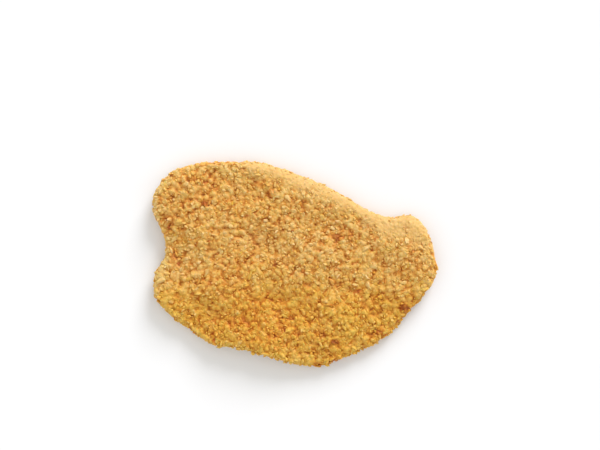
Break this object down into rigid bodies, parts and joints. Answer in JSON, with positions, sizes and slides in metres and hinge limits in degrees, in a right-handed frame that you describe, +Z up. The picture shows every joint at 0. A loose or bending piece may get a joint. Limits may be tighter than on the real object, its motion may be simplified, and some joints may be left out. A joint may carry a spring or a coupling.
{
  "type": "schnitzel",
  "caption": "Breaded schnitzel: one flat pounded cutlet under a coarse golden crumb coat, with an uneven oval outline and one long rolled edge.",
  "frame": {"origin": "on the surface it lies on, under the middle of its bounding box", "axes": "+X along its length, towards the narrow end; +Y towards the long rolled edge; +Z up, out of the crumbed top"},
  "size_m": [0.1712, 0.1244, 0.0141],
  "materials": {
    "breading": "coarse crumbs fried golden, slightly oily"
  },
  "bodies": {
    "root": {"schnitzel": "breading"}
  },
  "joints": []
}
